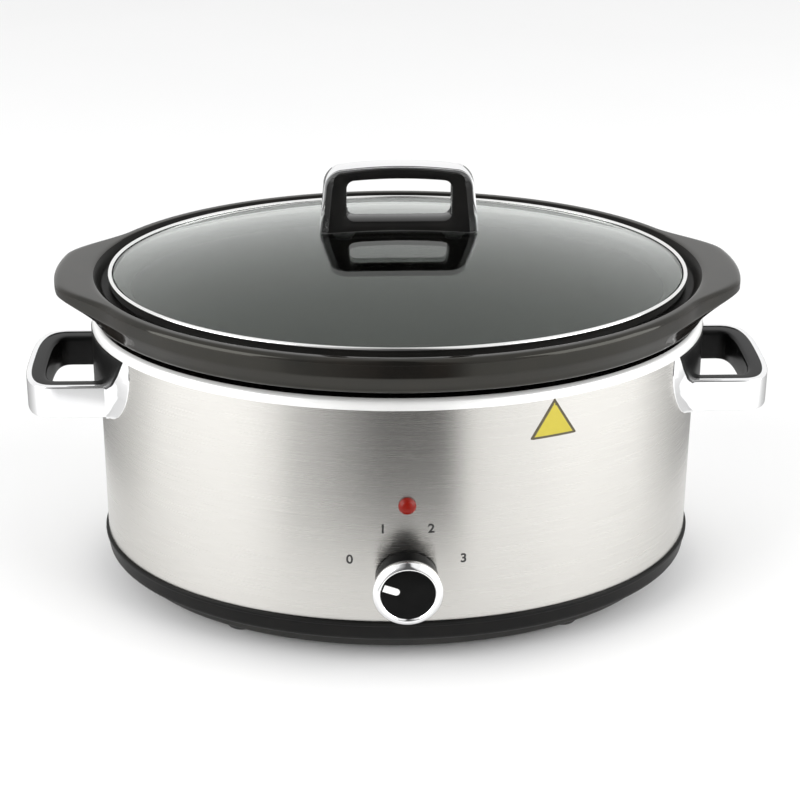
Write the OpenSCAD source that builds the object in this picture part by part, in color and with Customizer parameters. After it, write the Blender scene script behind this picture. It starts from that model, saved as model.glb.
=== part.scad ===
// Oval slow cooker with lift-out crock and glass lid, in millimetres.
// Origin on the table under the middle of the overall box, +Z up, front towards -Y, long axis along X.

/* [Casing] */
// Length of the steel casing over its two ends
casing_l = 334; // [330:1:338]
// Depth of the steel casing from front to rear
casing_d = 254; // [250:1:258]
// Height of the lower edge of the steel casing
casing_low = 26; // [25:0.5:27]
// Height of the upper edge of the steel casing
casing_high = 149; // [147:0.5:151]
// Thickness of the casing sheet
sheet_t = 1; // [0.8:0.1:1.2]

/* [Crock] */
// Height of the lip of the crock
lip_z = 179; // [177:0.5:181]
// Reach of each lug from the middle of the cooker
lug_x = 189; // [185:1:192]
// Half width of the straight end of a lug
lug_flat = 26; // [22:1:30]
// Half width of a lug where it runs out into the rim
lug_foot = 62; // [58:1:66]

/* [Lid] */
// Length of the lid over its steel rim
lid_l = 320; // [318:1:322]
// Depth of the lid over its steel rim
lid_d = 245.6; // [244:0.2:247]
// Rise of the glass from its edge to its crown
dome_rise = 22.6; // [20:0.2:25]
// Height of the lid handle above the crown
lid_handle_h = 37; // [34:0.5:40]
// Width of the lid handle at its foot
lid_handle_w = 87; // [82:1:90]
// Front to rear depth of the lid handle
lid_handle_d = 14; // [12:0.5:18]

/* [Side handles] */
// Reach of each side handle from the middle of the cooker
handle_x = 206.5; // [204:0.5:209]
// Half width of a side handle, front to rear
handle_y = 42; // [41:0.5:44]
// Height of the underside of a side handle
handle_low = 107.5; // [106:0.5:109]
// Height of the top of a side handle
handle_high = 126; // [125:0.5:127]

/* [Controls] */
// Height of the knob axis
knob_z = 52; // [50:0.5:54]
// Outer radius of the bright ring of the knob
knob_r = 18.3; // [17.5:0.1:19]
// Angle between two switch positions
detent = 47; // [40:1:50]
// Height of the indicator lamp
lamp_z = 94.4; // [92:0.2:97]

/* [Hidden] */
$fn = 48;

// Semi-axes of the casing and small working gaps
ca = casing_l / 2;
cb = casing_d / 2;
fit_gap = 0.05;
oval_sides = 96;

// Base tray
tray_low = 4;
tray_floor = 7;
tray_ledge = 16.5;
spigot_h = 6;
foot_in = 11.5;
post_x = 80;
post_y = 40;
foot_x = 88;
foot_y = 80;
foot_r = 9;
base_screw_r = 1.9;

// Heater well
well_a = ca - 11.5;
well_b = cb - 11.5;
well_floor = 41.5;
band_low = 88;
band_high = 128;
band_t = 2;
clamp_low = 104;
clamp_high = 112;
clamp_t = 0.8;
liner_under = 40.5;

// Side handles
cover_t = 3;
pad_t = 3.5;
gap_inset = 11;
handle_bend = 186;
handle_power = 3.2;
handle_screw_y = 34;
handle_screw_z = (handle_low + handle_high) / 2;
pad_top = casing_high - 0.2;

// Lid
la = lid_l / 2;
lb = lid_d / 2;
glass_t = 4.3;
glass_edge_z = 178.7;
crown_z = glass_edge_z + dome_rise;
glass_a = la - 2.4;
glass_b = lb - 2.4;
gasket_t = 0.9;
strap_t = 1.6;
strap_d = lid_handle_d - 2.4;
strap_arch = 1.8;
core_arch = 2.4;
window_w = 57.2;
window_arc = 264;
lid_screw_x = 30;
lid_screw_r = 2;
washer_r = 6;

// Controls: distances are measured forwards from the front of the casing
shaft_r = 3;
skirt_r = 16.7;
knob_front = 17.8;
knob_reach = 18.5;
switch_front = -6.5;
rest_turn = -1.5 * detent;
lens_r = 4.6;
gland_z = 40;

// Crock: how far a lug's end bows back to its foot, and the share of its thickness it loses at the end
lug_bow = 18;
lug_thin = 0.4;

// Half depth of the crock's rim, and how far the casing's axis lies behind the origin
rim_b = 136.8;
axis_y = (cb + knob_reach - rim_b) / 2;

// ---- shared shapes ----

function oval_points(a, b) =
    [for (i = [0 : oval_sides - 1]) [a * cos(360 * i / oval_sides), b * sin(360 * i / oval_sides)]];

module oval(a, b) polygon(oval_points(a, b));

// Upright oval tube: outer semi-axes a and b, wall t, from z0 up to z1
module oval_tube(a, b, t, z0, z1)
    translate([0, 0, z0]) linear_extrude(z1 - z0) difference() {
        oval(a, b);
        oval(a - t, b - t);
    }

module oval_plate(a, b, z0, z1) translate([0, 0, z0]) linear_extrude(z1 - z0) oval(a, b);

// A loop of points at one height, from a ring given as [a, b, z]
function loop_of(ring) = [for (p = oval_points(ring[0], ring[1])) [p[0], p[1], ring[2]]];

// Side faces between loops i and i + 1 of n points each
function side_faces(i, next, n) =
    [for (j = [0 : n - 1]) let (k = (j + 1) % n) [i * n + j, next * n + j, next * n + k, i * n + k]];

function flat(lists) = [for (list = lists) for (item = list) item];

// Solid skinned over loops that run up the outside and down the inside, closed by two flat caps
module capped_skin(loops) {
    n = len(loops[0]);
    last = len(loops) - 1;
    sides = flat([for (i = [0 : last - 1]) side_faces(i, i + 1, n)]);
    first_cap = [for (j = [0 : n - 1]) j];
    last_cap = [for (j = [n - 1 : -1 : 0]) last * n + j];
    polyhedron(flat(loops), concat(sides, [first_cap, last_cap]), convexity = 6);
}

// Ring-shaped solid skinned over loops whose last joins the first
module ring_skin(loops) {
    n = len(loops[0]);
    m = len(loops);
    polyhedron(flat(loops), flat([for (i = [0 : m - 1]) side_faces(i, (i + 1) % m, n)]), convexity = 6);
}

// Frames whose +Z points straight out of the casing: at the front, at the rear, and at side height y
module at_front(z) translate([0, -cb, z]) rotate([90, 0, 0]) children();

module at_rear(z) translate([0, cb, z]) rotate([-90, 0, 0]) children();

function casing_x(y) = ca * sqrt(1 - pow(y / cb, 2));

function casing_lean(y) = atan(pow(ca / cb, 2) * y / casing_x(y));

module at_side(y, z) translate([casing_x(y), y, z]) rotate([0, 90, casing_lean(y)]) children();

// Puts a piece modelled round the casing's axis in its place behind the origin
module seated() translate([0, axis_y, 0]) children();

module both_sides() for (side = [0, 1]) mirror([side, 0, 0]) children();

module at_corners(x, y) for (sx = [-1, 1], sy = [-1, 1]) translate([sx * x, sy * y, 0]) children();

// Tube of radius r along hand-chosen points, as rings across the mean direction at each point
function unit(v) = v / norm(v);

function run_at(path, i) =
    unit(path[min(i + 1, len(path) - 1)] - path[max(i - 1, 0)]);

function ring_at(path, i, r, sides) = let (
        run = run_at(path, i),
        helper = abs(run[2]) < 0.8 ? [0, 0, 1] : [1, 0, 0],
        side = unit(cross(helper, run)),
        up = cross(run, side)
    ) [for (j = [0 : sides - 1]) path[i] + r * (cos(360 * j / sides) * side + sin(360 * j / sides) * up)];

module wire(path, r) capped_skin([for (i = [0 : len(path) - 1]) ring_at(path, i, r, 8)]);

// Each middle corner of a route rounded by one chamfer, so that a wire bends and does not kink
function eased(route, cut) = concat([route[0]], flat([for (i = [1 : len(route) - 2]) [
        route[i] + cut * unit(route[i - 1] - route[i]),
        route[i] + 0.3 * cut * unit(route[i - 1] - route[i]) + 0.3 * cut * unit(route[i + 1] - route[i]),
        route[i] + cut * unit(route[i + 1] - route[i])
    ]]), [route[len(route) - 1]]);

// ---- base ----

module base_tray() color([0.09, 0.09, 0.09]) difference() {
    union() {
        oval_plate(ca - foot_in, cb - foot_in, tray_low, tray_floor);
        oval_tube(ca - foot_in, cb - foot_in, 3, tray_low, tray_ledge);
        oval_tube(ca + 0.6, cb + 0.6, 15, tray_ledge - 2.5, tray_ledge);
        oval_tube(ca + 0.6, cb + 0.6, 2.6, tray_ledge - 2.5, casing_low);
        oval_tube(ca + 1.6, cb + 1.6, 3.6, casing_low - 2.5, casing_low);
        oval_tube(ca - sheet_t - 0.1, cb - sheet_t - 0.1, 2.4, casing_low - 1, casing_low + spigot_h);
    }
    at_corners(post_x, post_y) translate([0, 0, tray_low - 1]) cylinder(r = base_screw_r + 0.3, h = 5);
    at_corners(foot_x, foot_y) translate([0, 0, tray_low - 1]) cylinder(r = 3.3, h = 5);
    for (i = [-3 : 3]) translate([i * 14 - 2, -25, tray_low - 1]) cube([4, 50, 5]);
    for (x = [-16, 16]) translate([x, -117.5, tray_low - 1]) cylinder(r = 1.4, h = 20);
}

module foot() color([0.16, 0.16, 0.16]) {
    cylinder(r1 = foot_r - 0.8, r2 = foot_r, h = 1);
    translate([0, 0, 1]) cylinder(r = foot_r, h = tray_low - 1);
    cylinder(r = 3.2, h = tray_floor);
    translate([0, 0, tray_floor]) cylinder(r1 = 4.4, r2 = 2.6, h = 2.5);
}

module foot_front_left() translate([-foot_x, -foot_y, 0]) foot();

module foot_front_right() translate([foot_x, -foot_y, 0]) foot();

module foot_rear_left() translate([-foot_x, foot_y, 0]) foot();

module foot_rear_right() translate([foot_x, foot_y, 0]) foot();

module liner_posts() color([0.72, 0.73, 0.74]) at_corners(post_x, post_y) difference() {
    translate([0, 0, tray_floor]) cylinder(r = 5, h = liner_under - tray_floor);
    translate([0, 0, tray_floor - 1]) cylinder(r = base_screw_r + fit_gap, h = 19);
}

// Pan head screw pointing up +Z, with its head under z = 0 and a cross-shaped recess
module pan_screw(r, length, head_r, head_h) difference() {
    union() {
        cylinder(r = r, h = length);
        translate([0, 0, -head_h]) cylinder(r = head_r, h = head_h);
    }
    for (turn = [0, 90]) rotate([0, 0, turn])
        translate([-0.35 * head_r, -0.15 * head_r, -head_h - 1]) cube([0.7 * head_r, 0.3 * head_r, 1.5]);
}

module base_screws() color([0.75, 0.75, 0.75])
    at_corners(post_x, post_y) translate([0, 0, tray_low]) pan_screw(base_screw_r, 16, 4, 1.8);

// ---- casing and heater ----

module outer_shell() color([0.80, 0.80, 0.79]) difference() {
    oval_tube(ca, cb, sheet_t, casing_low, casing_high);
    at_front(knob_z) translate([0, 0, -3]) cylinder(r = shaft_r + 1, h = 6);
    at_front(lamp_z) translate([0, 0, -3]) cylinder(r = 4, h = 6);
    at_rear(gland_z) translate([0, 0, -3]) cylinder(r = 6, h = 6);
    both_sides() for (y = [-1, 1] * handle_screw_y)
        at_side(y, handle_screw_z) translate([0, 0, -3]) cylinder(r = 2.2, h = 6);
}

module top_trim_ring() color([0.93, 0.93, 0.93]) ring_skin([for (ring = [
        [2.6, 0], [3, 1.5], [2.3, 3.6], [0.9, 5.2], [-1, 6], [-8.5, 6], [-10, 4.5], [-10, -0.4],
        [-1.3, -0.4], [-1.3, 0]
    ]) loop_of([ca + ring[0], cb + ring[0], casing_high + ring[1]])]);

module heater_liner() color([0.78, 0.79, 0.80]) capped_skin([for (ring = [
        [-37.5, liner_under], [-21.5, 43.5], [-9.5, 52], [-2.5, 66], [0, 84], [0, casing_high - 1.5],
        [10, casing_high - 1.5], [10, casing_high - 0.4], [-0.9, casing_high - 0.4], [-1, 84], [-3.5, 66.5],
        [-10.3, 53], [-22, 44.6], [-38, well_floor]
    ]) loop_of([well_a + ring[0], well_b + ring[0], ring[1]])]);

module heating_band() color([0.55, 0.47, 0.33]) difference() {
    oval_tube(well_a + band_t, well_b + band_t, band_t, band_low, band_high);
    translate([-0.75, well_b - 2, band_low - 1]) cube([1.5, 8, band_high - band_low + 2]);
}

module band_clamp() color([0.70, 0.71, 0.72]) {
    difference() {
        oval_tube(well_a + band_t + clamp_t, well_b + band_t + clamp_t, clamp_t, clamp_low, clamp_high);
        translate([-3, well_b, clamp_low - 1]) cube([6, 8, clamp_high - clamp_low + 2]);
    }
    for (side = [0, 1]) mirror([side, 0, 0]) difference() {
        translate([3, well_b + band_t + 0.2, clamp_low]) cube([1.2, 5.2, clamp_high - clamp_low]);
        translate([0, well_b + 5, (clamp_low + clamp_high) / 2])
            rotate([0, 90, 0]) cylinder(r = 1.3, h = 8);
    }
}

module clamp_screw() color([0.75, 0.75, 0.75])
    translate([-4.2, well_b + 5, (clamp_low + clamp_high) / 2])
        rotate([0, 90, 0]) pan_screw(1.25, 12, 2.2, 1.4);

module thermal_fuse() color([0.85, 0.80, 0.60])
    translate([-7, -30, liner_under - 2.9]) rotate([0, 90, 0]) cylinder(r = 2, h = 14);

module fuse_clip() color([0.70, 0.71, 0.72]) difference() {
    union() {
        translate([-4, -33.2, liner_under - 5.8]) cube([8, 6.4, 5.8]);
        translate([-4, -39, liner_under - 1]) cube([8, 18, 1]);
    }
    translate([-7, -30, liner_under - 2.9]) rotate([0, 90, 0]) cylinder(r = 2 + fit_gap, h = 14);
}

// ---- electrics ----

module switch_body() color([0.88, 0.86, 0.80]) at_front(knob_z) difference() {
    union() {
        translate([-13, -14, switch_front - 8.5]) cube([26, 24, 8.5]);
        translate([0, 0, switch_front]) cylinder(r = 5, h = 4);
        for (x = [-7, 0, 7]) translate([x - 2.4, -22, -13]) cube([4.8, 9, 0.9]);
    }
    translate([0, 0, -14]) cylinder(r = shaft_r + fit_gap, h = 14);
}

module switch_nut() color([0.78, 0.76, 0.66]) at_front(knob_z) difference() {
    translate([0, 0, switch_front + 1.6]) cylinder(r = 8, h = 2.2, $fn = 6);
    translate([0, 0, switch_front]) cylinder(r = 5 + fit_gap, h = 5);
}

module switch_bracket() color([0.72, 0.73, 0.74]) difference() {
    union() {
        translate([-22, -cb + 5, tray_ledge]) cube([44, 1.4, knob_z + 12 - tray_ledge]);
        translate([-22, -cb + 5, tray_ledge]) cube([44, 8, 1.4]);
    }
    at_front(knob_z) translate([0, 0, -9]) cylinder(r = 5 + fit_gap, h = 9);
    for (x = [-16, 16]) translate([x, -cb + 9.5, tray_ledge - 1]) cylinder(r = 1.8, h = 4);
}

module bracket_screws() color([0.75, 0.75, 0.75])
    for (x = [-16, 16]) translate([x, -cb + 9.5, tray_ledge + 1.4])
        mirror([0, 0, 1]) pan_screw(1.35, 3.9, 2.8, 1.5);

module lamp_holder() color([0.90, 0.89, 0.85]) at_front(lamp_z) difference() {
    translate([0, 0, -7.5]) cylinder(r = 5.2, h = 6.2);
    translate([0, 0, -6]) cylinder(r = 3.8 + fit_gap, h = 6);
}

module lamp_lens() color([0.75, 0.10, 0.06]) at_front(lamp_z) rotate_extrude() polygon(concat(
    [[0, -5.8], [3.8, -5.8], [3.8, fit_gap], [lens_r, fit_gap], [lens_r, 1]],
    [for (turn = [15 : 15 : 90]) [lens_r * cos(turn), 1 + 2.4 * sin(turn)]]));

module terminal_block() color([0.85, 0.85, 0.82]) translate([-20, 62, tray_floor]) difference() {
    cube([40, 16, 13]);
    for (x = [8, 20, 32]) {
        translate([x, -1, 6]) rotate([-90, 0, 0]) cylinder(r = 1.7, h = 18);
        translate([x, 8, 9]) cylinder(r = 2, h = 5);
    }
}

// Routes keep to the tray floor, then rise beside the well to what they feed
module internal_wires() color([0.80, 0.75, 0.70]) {
    live = [[-12, 62, 13], [-12, 54, 13], [-30, 30, 11], [-30, -70, 11], [-7, -92, 18], [-7, -114.5, 24],
        [-7, -114.5, 29.9]];
    heater = [[7, -114.5, 29.9], [7, -114.5, 24], [40, -104, 22], [60, -107, 32], [70, -108, 60],
        [68, -110, 84], [64, -109.2, 96]];
    fused = [[12, 62, 13], [12, 54, 13], [14, 20, 18], [18, -30, 37.6], [7.1, -30, 37.6]];
    returned = [[-7.1, -30, 37.6], [-18, -30, 37.6], [-28, -46, 34], [-60, -95, 34], [-72, -107, 60],
        [-68, -110, 84], [-64, -109.2, 96]];
    lamp = [[0, -114.5, 29.9], [0, -114.5, 24], [-30, -108, 24], [-38, -112, 50], [-26, -119.4, 80],
        [-12, -122, 94], [-5.4, -122, 94.4]];
    for (route = [live, heater, fused, returned, lamp]) wire(eased(route, 3), 1.2);
}

module cord_gland() color([0.10, 0.10, 0.10]) at_rear(gland_z) rotate_extrude() polygon([
    [3.6, -6], [6.4, -6], [7.2, -4.5], [7.2, -1.4], [5.9, -1.4], [5.9, fit_gap], [8.2, fit_gap], [8.2, 2],
    [7, 3.4], [5.4, 4], [3.6, 4]
]);

// Three-cornered blank sticker that follows the casing
module plain_sticker() color([0.95, 0.80, 0.10]) intersection() {
    oval_tube(ca + 0.3, cb + 0.3, 0.3, 120, casing_high);
    translate([75.5, -cb + 30, 126.5]) rotate([90, 0, 0]) linear_extrude(40)
        polygon([[-12.5, 0], [12.5, 0], [0, 21.5]]);
}

// ---- side handles ----

// Outline of a side handle in plan, drawn in by inset all round
function handle_outline(inset) = concat([[120, -(handle_y - inset)]], [for (turn = [-90 : 6 : 90]) [
        handle_bend + (handle_x - handle_bend - inset) * pow(abs(cos(turn)), 2 / handle_power),
        (handle_y - inset) * sign(turn) * pow(abs(sin(turn)), 2 / handle_power)
    ]], [[120, handle_y - inset]]);

// Bent bar of a side handle between two insets, standing out from the casing
module handle_bar(outer, inner) translate([0, 0, handle_low])
    linear_extrude(handle_high - handle_low) difference() {
        polygon(handle_outline(outer));
        polygon(handle_outline(inner));
        oval(ca, cb);
    }

// Part of a skin of thickness t on the casing, seen from the side as an outline of [y, z]
module casing_skin(t, outline) intersection() {
    oval_tube(ca + t, cb + t, t, handle_low, pad_top);
    translate([100, 0, 0]) rotate([90, 0, 90]) linear_extrude(110) polygon(outline);
}

module side_handle_core() color([0.08, 0.08, 0.08]) difference() {
    union() {
        handle_bar(cover_t, gap_inset);
        casing_skin(pad_t, [
            [-38, handle_low], [38, handle_low], [handle_y - cover_t, handle_high], [48, 128],
            [61.5, pad_top], [-61.5, pad_top], [-48, 128], [cover_t - handle_y, handle_high]
        ]);
    }
    for (y = [-1, 1] * handle_screw_y)
        at_side(y, handle_screw_z) translate([0, 0, -1]) cylinder(r = 1.6 + fit_gap, h = 10);
}

module side_handle_cover() color([0.92, 0.92, 0.93]) {
    handle_bar(0, cover_t);
    for (side = [0, 1]) mirror([0, side, 0]) casing_skin(cover_t, [
        [handle_y - cover_t, handle_low], [47, handle_low + 1], [56, 115], [61, 124], [63.5, 136],
        [62.5, pad_top], [61.5, pad_top], [48, 128], [handle_y - cover_t, handle_high]
    ]);
}

module handle_core_left() mirror([1, 0, 0]) side_handle_core();

module handle_core_right() side_handle_core();

module handle_cover_left() mirror([1, 0, 0]) side_handle_cover();

module handle_cover_right() side_handle_cover();

module handle_screws() color([0.75, 0.75, 0.75]) both_sides() for (y = [-1, 1] * handle_screw_y)
    at_side(y, handle_screw_z) translate([0, 0, -sheet_t - 0.2]) pan_screw(1.6, 9.5, 3.2, 1.8);

// ---- crock ----

// Angles round the crock: close together over the lugs, wider apart elsewhere
quarter = concat([for (t = [0 : 2 : 24]) t], [for (t = [27 : 6 : 87]) t]);
half_turn = concat(quarter, [90], [for (i = [len(quarter) - 1 : -1 : 1]) 180 - quarter[i]]);
full_turn = concat(half_turn, [for (t = half_turn) t + 180]);

// 1 across the straight end of a lug, falling smoothly to 0 where the lug runs out
function lug_share(y) = let (s = min(max((abs(y) - lug_flat) / (lug_foot - lug_flat), 0), 1))
    1 - s * s * (3 - 2 * s);

// Loop of the crock. A ring with a fourth value is drawn out to that much short of a lug's bowed end,
// and rises towards it
function crock_loop(ring) = [for (t = full_turn) let (
        x = ring[0] * cos(t),
        y = ring[1] * sin(t),
        share = len(ring) == 4 ? lug_share(y) : 0,
        end_x = lug_x - lug_bow * pow(y / lug_foot, 2) - (len(ring) == 4 ? ring[3] : 0)
    ) [x + sign(x) * share * max(end_x - abs(x), 0), y,
        ring[2] + share * lug_thin * (lip_z - ring[2])]];

module crock() color([0.13, 0.12, 0.11]) capped_skin([for (ring = [
        [112, 72, 42], [122, 82, 43.5], [134, 94, 48.5], [143, 103, 58], [148.5, 108.5, 75],
        [151.5, 111.5, 150], [152.5, 112.5, 155.5], [156, 117, 157.3], [168, 131.3, 159.6],
        [171.5, 134.6, 161], [172.8, 136, 163.5], [173.2, 136.4, 168.5, 1.2], [173.6, rim_b, 171, 0],
        [173.5, 136.7, lip_z - 3, 0], [172.4, 135.6, lip_z - 1, 1.2], [170, 133.2, lip_z, 4],
        [168, 131.2, lip_z - 0.4], [166.4, 129.6, lip_z - 2.4], [163.6, 126.8, 172.6], [150, 112, 171.6],
        [146.6, 108, 168], [144, 104, 80], [139.5, 99.5, 62], [128, 88, 53], [112, 72, 50]
    ]) crock_loop(ring)]);

// ---- lid ----

// Height of the top of the glass, from its share of the way out to the edge
function dome_z(share) = crown_z - dome_rise * share * share;

module screw_holes(r)
    for (x = [-1, 1] * lid_screw_x) translate([x, 0, crown_z - 12]) cylinder(r = r, h = 24);

// Shares of the way out at which the glass has a loop, closer together under the handle
dome_shares = [0.05, 0.12, 0.19, 0.26, 0.4, 0.55, 0.75, 0.9, 1];

function dome_loop(share, drop) = loop_of([glass_a * share, glass_b * share, dome_z(share) - drop]);

module lid_glass() color([0.45, 0.48, 0.47, 0.6]) difference() {
    capped_skin(concat(
        [for (share = dome_shares) dome_loop(share, glass_t)],
        [for (i = [len(dome_shares) - 1 : -1 : 0]) dome_loop(dome_shares[i], 0)]));
    screw_holes(lid_screw_r + 0.3);
}

module lid_rim() color([0.85, 0.85, 0.85]) ring_skin([for (ring = [
        [-1, 173], [0, 174], [0, 178.8], [-0.9, 180], [-3.4, 180], [-3.6, 179.4], [-2.2, 178.8],
        [-2.2, 174.2], [-4.6, 174], [-4.6, 173]
    ]) loop_of([la + ring[0], lb + ring[0], ring[1]])]);

function glass_z(x) = dome_z(x / glass_a);

core_w = lid_handle_w / 2 - strap_t;
core_top = crown_z + lid_handle_h - strap_t;
corner_r = 10;
shoulder = 2.4;

// Half width of the arched top between the two corners
arch_w = core_w - shoulder - corner_r;

// One corner of the lid handle grown outwards by t, under a top that arches up by rise
function corner_arc(t, rise) = [for (turn = [0 : 15 : 75])
    [arch_w, core_top - rise - corner_r] + (corner_r + t) * [cos(turn), sin(turn)]];

function reversed(points) = [for (i = [len(points) - 1 : -1 : 0]) points[i]];

function mirrored(points) = [for (p = reversed(points)) [-p[0], p[1]]];

// Outline of the lid handle in front view, grown outwards by t, from one end of its foot to the other
function bridge_outline(t, rise) = let (
        side = concat([[core_w + t, glass_z(core_w) + gasket_t + 0.1]], corner_arc(t, rise)),
        top = [for (share = [1 : -0.25 : -1]) [arch_w * share, core_top + t - rise * share * share]]
    ) concat(side, top, mirrored(side));

// Bottom edge of the bridge, rise above the glass
function along_glass(rise) = [for (i = [-6 : 6]) [core_w * i / 6, glass_z(core_w * i / 6) + rise]];

module window() {
    z0 = crown_z + 6;
    z1 = core_top - 5.5;
    half = window_w / 2;
    r = 4.5;
    intersection() {
        union() {
            for (x = [r - half, half - r], z = [z0 + r, z1 - r]) translate([x, z]) circle(r = r);
            translate([r - half, z0]) square([window_w - 2 * r, z1 - z0]);
            translate([-half, z0 + r]) square([window_w, z1 - z0 - 2 * r]);
        }
        translate([0, z1 - window_arc]) circle(r = window_arc, $fn = 360);
    }
}

// Extrudes a front view from front to rear across the lid handle
module across(depth) translate([0, depth / 2, 0]) rotate([90, 0, 0]) linear_extrude(depth) children();

module lid_handle_core() color([0.07, 0.07, 0.07]) difference() {
    across(lid_handle_d) difference() {
        polygon(concat(bridge_outline(0, core_arch), along_glass(gasket_t + 0.1)));
        window();
    }
    for (x = [-1, 1] * lid_screw_x)
        translate([x, 0, crown_z - 8]) cylinder(r = lid_screw_r + fit_gap, h = 24);
}

module lid_handle_strap() color([0.93, 0.93, 0.93]) across(strap_d) polygon(concat(
    bridge_outline(strap_t, strap_arch), reversed(bridge_outline(0, core_arch))));

module lid_gasket() color([0.20, 0.20, 0.20]) difference() {
    across(lid_handle_d - 1) polygon(concat(along_glass(0.1), reversed(along_glass(gasket_t + 0.1))));
    screw_holes(lid_screw_r + 0.3);
}

// Underside of the glass at the outer edge of the washers
under_glass = glass_z(lid_screw_x + washer_r) - glass_t - 0.15;
washer_t = 0.8;

module lid_washers() color([0.75, 0.75, 0.75]) difference() {
    for (x = [-1, 1] * lid_screw_x)
        translate([x, 0, under_glass - washer_t]) cylinder(r = washer_r, h = washer_t);
    screw_holes(lid_screw_r + 0.3);
}

module lid_screws() color([0.80, 0.80, 0.80]) for (x = [-1, 1] * lid_screw_x)
    translate([x, 0, under_glass - washer_t]) pan_screw(lid_screw_r, 18, 4.5, 2);

// ---- knob ----

module knob_body() color([0.09, 0.09, 0.09]) at_front(knob_z) rotate_extrude() polygon([
    [shaft_r + 0.03, 3.5], [6, 3.5], [6, 11.5], [14.9, 11.5], [14.9, 1.2], [skirt_r - 0.3, 1.2],
    [skirt_r, 1.6], [skirt_r, 13.4], [14, 13.4], [14, knob_front - 0.4], [13.6, knob_front],
    [0, knob_front], [0, 14.5], [shaft_r + 0.03, 14.5]
]);

module knob_ring() color([0.92, 0.92, 0.93]) at_front(knob_z) rotate_extrude() polygon([
    [14.05, 13.45], [knob_r - 0.4, 13.45], [knob_r, 14], [knob_r, 15.2], [knob_r - 1, 17.8],
    [knob_r - 2.2, knob_reach], [15.2, knob_reach], [14.4, 18.2], [14.05, 17.6]
]);

module knob_pointer() color([0.95, 0.95, 0.95]) at_front(knob_z) rotate([0, 0, -rest_turn])
    translate([0, 0, knob_front]) linear_extrude(0.7) {
        translate([-1.9, 6.6]) square([3.8, 6.8]);
        translate([0, 6.6]) circle(r = 1.9);
    }

module switch_shaft() color([0.80, 0.78, 0.70]) at_front(knob_z) translate([0, 0, -13.5])
    cylinder(r = shaft_r, h = 27.5);

seated() base_tray();
seated() outer_shell();
seated() top_trim_ring();
seated() heater_liner();
seated() heating_band();
seated() band_clamp();
seated() clamp_screw();
seated() liner_posts();
seated() base_screws();
seated() foot_front_left();
seated() foot_front_right();
seated() foot_rear_left();
seated() foot_rear_right();
seated() handle_core_left();
seated() handle_core_right();
seated() handle_cover_left();
seated() handle_cover_right();
seated() handle_screws();
seated() switch_body();
seated() switch_nut();
seated() switch_bracket();
seated() bracket_screws();
seated() lamp_lens();
seated() lamp_holder();
seated() terminal_block();
seated() thermal_fuse();
seated() fuse_clip();
seated() internal_wires();
seated() cord_gland();
seated() plain_sticker();
seated() crock();
seated() lid_glass();
seated() lid_rim();
seated() lid_gasket();
seated() lid_handle_core();
seated() lid_handle_strap();
seated() lid_screws();
seated() lid_washers();
seated() knob_body();
seated() knob_ring();
seated() knob_pointer();
seated() switch_shaft();
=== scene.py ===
"""Looks of an oval slow cooker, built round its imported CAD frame.

Shapes are worked out in millimetres round the cooker's own axis and turned into metres as each mesh is made.
+Z is up and the front faces -Y.
"""
import math

import bmesh
import bpy
from mathutils import Matrix, Vector


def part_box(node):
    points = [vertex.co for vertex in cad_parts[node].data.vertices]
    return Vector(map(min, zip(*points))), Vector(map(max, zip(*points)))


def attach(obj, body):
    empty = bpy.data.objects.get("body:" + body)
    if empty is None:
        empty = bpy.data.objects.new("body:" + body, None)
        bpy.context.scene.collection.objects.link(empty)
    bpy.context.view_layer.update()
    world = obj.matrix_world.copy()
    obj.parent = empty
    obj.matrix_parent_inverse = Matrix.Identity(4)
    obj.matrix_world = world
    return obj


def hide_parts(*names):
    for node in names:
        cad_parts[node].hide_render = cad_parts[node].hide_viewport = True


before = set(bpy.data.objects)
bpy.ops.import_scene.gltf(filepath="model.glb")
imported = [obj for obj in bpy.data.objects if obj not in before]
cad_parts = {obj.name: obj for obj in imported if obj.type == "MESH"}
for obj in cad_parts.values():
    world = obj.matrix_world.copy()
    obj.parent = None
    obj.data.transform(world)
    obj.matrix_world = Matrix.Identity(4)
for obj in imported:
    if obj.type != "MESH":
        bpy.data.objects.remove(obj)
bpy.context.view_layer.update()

MM = 0.001
ROUND = 288


# ---- sizes from the frame ----

def box_mm(node):
    """Lowest and highest corner of a CAD node, in millimetres."""
    low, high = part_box(node)
    return low / MM, high / MM


def half_span(node):
    """Half the length and half the depth of a CAD node."""
    low, high = box_mm(node)
    return (high.x - low.x) / 2, (high.y - low.y) / 2


shell_low, shell_high = box_mm("outer_shell")
AXIS_Y = (shell_low.y + shell_high.y) / 2
CASING = half_span("outer_shell")
CASING_LOW, CASING_HIGH = shell_low.z, shell_high.z
BASE_LOW = box_mm("base_tray")[0].z
CROCK_FOOT, LIP = box_mm("crock")[0].z, box_mm("crock")[1].z
LUG_X, RIM_B = half_span("crock")
LID = half_span("lid_rim")
RIM_LOW, RIM_HIGH = box_mm("lid_rim")[0].z, box_mm("lid_rim")[1].z
GLASS = half_span("lid_glass")
GLASS_T = 4.3
CROWN = box_mm("lid_glass")[1].z
DOME_RISE = CROWN - box_mm("lid_glass")[0].z - GLASS_T
HANDLE_X = box_mm("handle_cover_right")[1].x
HANDLE_LOW = box_mm("handle_cover_right")[0].z
HANDLE_TOP = HANDLE_LOW + 18.5
ARM_Y = 42.0
PAD_TOP = box_mm("handle_core_right")[1].z
ring_low, ring_high = box_mm("knob_ring")
KNOB_Z = (ring_low.z + ring_high.z) / 2
KNOB_R = (ring_high.z - ring_low.z) / 2
KNOB_FRONT = -ring_low.y + AXIS_Y - CASING[1]
LAMP_Z = (box_mm("lamp_lens")[0].z + box_mm("lamp_lens")[1].z) / 2
LENS_R = half_span("lamp_lens")[0]
GLAND_Z = (box_mm("cord_gland")[0].z + box_mm("cord_gland")[1].z) / 2
DETENT = 47.0


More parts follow.
